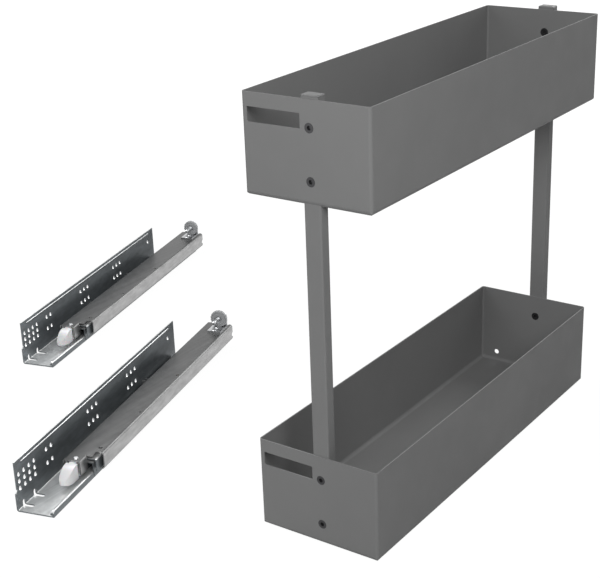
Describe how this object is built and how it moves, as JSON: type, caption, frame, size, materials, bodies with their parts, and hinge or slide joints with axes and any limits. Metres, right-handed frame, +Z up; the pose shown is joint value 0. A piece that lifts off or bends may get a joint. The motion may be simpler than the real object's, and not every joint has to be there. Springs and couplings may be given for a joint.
{
  "type": "pull-out cabinet organizer",
  "caption": "Two-tier pull-out rack of open steel trays on two uprights, with a pair of soft-close undermount slides for one side wall of a narrow cabinet.",
  "frame": {"origin": "centre of the lower tray's underside", "axes": "+Z up, +Y towards the rear of the cabinet, +X to the right seen from the front"},
  "size_m": [0.723, 0.7079, 0.4405],
  "materials": {
    "tray_paint": "satin anthracite powder coat",
    "zinc_steel": "zinc-plated sheet steel",
    "bright_steel": "bright zinc-plated fasteners and rollers",
    "screw_steel": "dark-grey screws",
    "white_plastic": "white moulded plastic",
    "grey_plastic": "grey moulded plastic",
    "cage_plastic": "natural moulded plastic",
    "black_plastic": "black moulded plastic",
    "dark_grey_plastic": "dark-grey moulded plastic"
  },
  "bodies": {
    "cabinet_side": {"upper_cabinet_rail": "zinc_steel", "upper_track": "zinc_steel", "upper_track_rivets": "bright_steel", "upper_soft_close_housing": "black_plastic", "upper_damper": "zinc_steel", "lower_cabinet_rail": "zinc_steel", "lower_track": "zinc_steel", "lower_track_rivets": "bright_steel", "lower_soft_close_housing": "black_plastic", "lower_damper": "zinc_steel"},
    "rack": {"upper_tray": "tray_paint", "lower_tray": "tray_paint", "front_upright": "tray_paint", "rear_upright": "tray_paint", "front_upright_cap": "dark_grey_plastic", "rear_upright_cap": "dark_grey_plastic", "upper_front_screws": "screw_steel", "upper_rear_screws": "screw_steel", "lower_front_screws": "screw_steel", "lower_rear_screws": "screw_steel"},
    "upper_drawer": {"upper_drawer_rail": "zinc_steel", "upper_front_catch": "white_plastic", "upper_lever_pin": "bright_steel", "upper_rear_bracket": "zinc_steel", "upper_hook_stud": "bright_steel", "upper_bracket_rivets": "bright_steel"},
    "upper_middle": {"upper_middle_rail": "zinc_steel"},
    "upper_inner_cage": {"upper_inner_cage": "cage_plastic", "upper_inner_rollers": "bright_steel"},
    "upper_outer_cage": {"upper_outer_cage": "cage_plastic", "upper_outer_rollers": "bright_steel"},
    "upper_soft_close": {"upper_soft_close_slider": "black_plastic"},
    "upper_lever": {"upper_release_lever": "white_plastic"},
    "upper_wheel": {"upper_adjuster_wheel": "grey_plastic"},
    "lower_drawer": {"lower_drawer_rail": "zinc_steel", "lower_front_catch": "white_plastic", "lower_lever_pin": "bright_steel", "lower_rear_bracket": "zinc_steel", "lower_hook_stud": "bright_steel", "lower_bracket_rivets": "bright_steel"},
    "lower_middle": {"lower_middle_rail": "zinc_steel"},
    "lower_inner_cage": {"lower_inner_cage": "cage_plastic", "lower_inner_rollers": "bright_steel"},
    "lower_outer_cage": {"lower_outer_cage": "cage_plastic", "lower_outer_rollers": "bright_steel"},
    "lower_soft_close": {"lower_soft_close_slider": "black_plastic"},
    "lower_lever": {"lower_release_lever": "white_plastic"},
    "lower_wheel": {"lower_adjuster_wheel": "grey_plastic"}
  },
  "joints": [
    {"name": "rack_pull_out", "type": "slide", "parent": "cabinet_side", "child": "rack", "axis": [0, -1, 0], "range_m": [0, 0.43]},
    {"name": "upper_drawer_slide", "type": "slide", "parent": "cabinet_side", "child": "upper_drawer", "axis": [0.2588, -0.9659, 0], "range_m": [0, 0.43]},
    {"name": "upper_middle_slide", "type": "slide", "parent": "cabinet_side", "child": "upper_middle", "axis": [0.2588, -0.9659, 0], "range_m": [0, 0.215]},
    {"name": "upper_inner_cage_slide", "type": "slide", "parent": "cabinet_side", "child": "upper_inner_cage", "axis": [0.2588, -0.9659, 0], "range_m": [0, 0.3225]},
    {"name": "upper_outer_cage_slide", "type": "slide", "parent": "cabinet_side", "child": "upper_outer_cage", "axis": [0.2588, -0.9659, 0], "range_m": [0, 0.1075]},
    {"name": "upper_soft_close_slide", "type": "slide", "parent": "cabinet_side", "child": "upper_soft_close", "axis": [0.2588, -0.9659, 0], "range_m": [0, 0.043]},
    {"name": "upper_lever_turn", "type": "hinge", "parent": "upper_drawer", "child": "upper_lever", "pos_m": [-0.54695, -0.00416, 0.0224], "axis": [0, 0, 1], "range_deg": [0, 12], "stiffness_Nm_per_rad": 0.05},
    {"name": "upper_wheel_turn", "type": "hinge", "parent": "upper_drawer", "child": "upper_wheel", "pos_m": [-0.63184, 0.34859, 0.038], "axis": [0.2588, -0.9659, 0], "range_deg": [-180, 180]},
    {"name": "lower_drawer_slide", "type": "slide", "parent": "cabinet_side", "child": "lower_drawer", "axis": [0.2588, -0.9659, 0], "range_m": [0, 0.43]},
    {"name": "lower_middle_slide", "type": "slide", "parent": "cabinet_side", "child": "lower_middle", "axis": [0.2588, -0.9659, 0], "range_m": [0, 0.215]},
    {"name": "lower_inner_cage_slide", "type": "slide", "parent": "cabinet_side", "child": "lower_inner_cage", "axis": [0.2588, -0.9659, 0], "range_m": [0, 0.3225]},
    {"name": "lower_outer_cage_slide", "type": "slide", "parent": "cabinet_side", "child": "lower_outer_cage", "axis": [0.2588, -0.9659, 0], "range_m": [0, 0.1075]},
    {"name": "lower_soft_close_slide", "type": "slide", "parent": "cabinet_side", "child": "lower_soft_close", "axis": [0.2588, -0.9659, 0], "range_m": [0, 0.043]},
    {"name": "lower_lever_turn", "type": "hinge", "parent": "lower_drawer", "child": "lower_lever", "pos_m": [-0.28695, -0.26416, 0.0224], "axis": [0, 0, 1], "range_deg": [0, 12], "stiffness_Nm_per_rad": 0.05},
    {"name": "lower_wheel_turn", "type": "hinge", "parent": "lower_drawer", "child": "lower_wheel", "pos_m": [-0.37184, 0.08859, 0.038], "axis": [0.2588, -0.9659, 0], "range_deg": [-180, 180]}
  ],
  "couplings": [
    {"joint": "upper_drawer_slide", "follows": "rack_pull_out", "ratio": 1},
    {"joint": "upper_middle_slide", "follows": "rack_pull_out", "ratio": 0.5},
    {"joint": "upper_inner_cage_slide", "follows": "rack_pull_out", "ratio": 0.75},
    {"joint": "upper_outer_cage_slide", "follows": "rack_pull_out", "ratio": 0.25},
    {"joint": "upper_soft_close_slide", "follows": "rack_pull_out", "ratio": 0.1},
    {"joint": "lower_drawer_slide", "follows": "rack_pull_out", "ratio": 1},
    {"joint": "lower_middle_slide", "follows": "rack_pull_out", "ratio": 0.5},
    {"joint": "lower_inner_cage_slide", "follows": "rack_pull_out", "ratio": 0.75},
    {"joint": "lower_outer_cage_slide", "follows": "rack_pull_out", "ratio": 0.25},
    {"joint": "lower_soft_close_slide", "follows": "rack_pull_out", "ratio": 0.1}
  ]
}
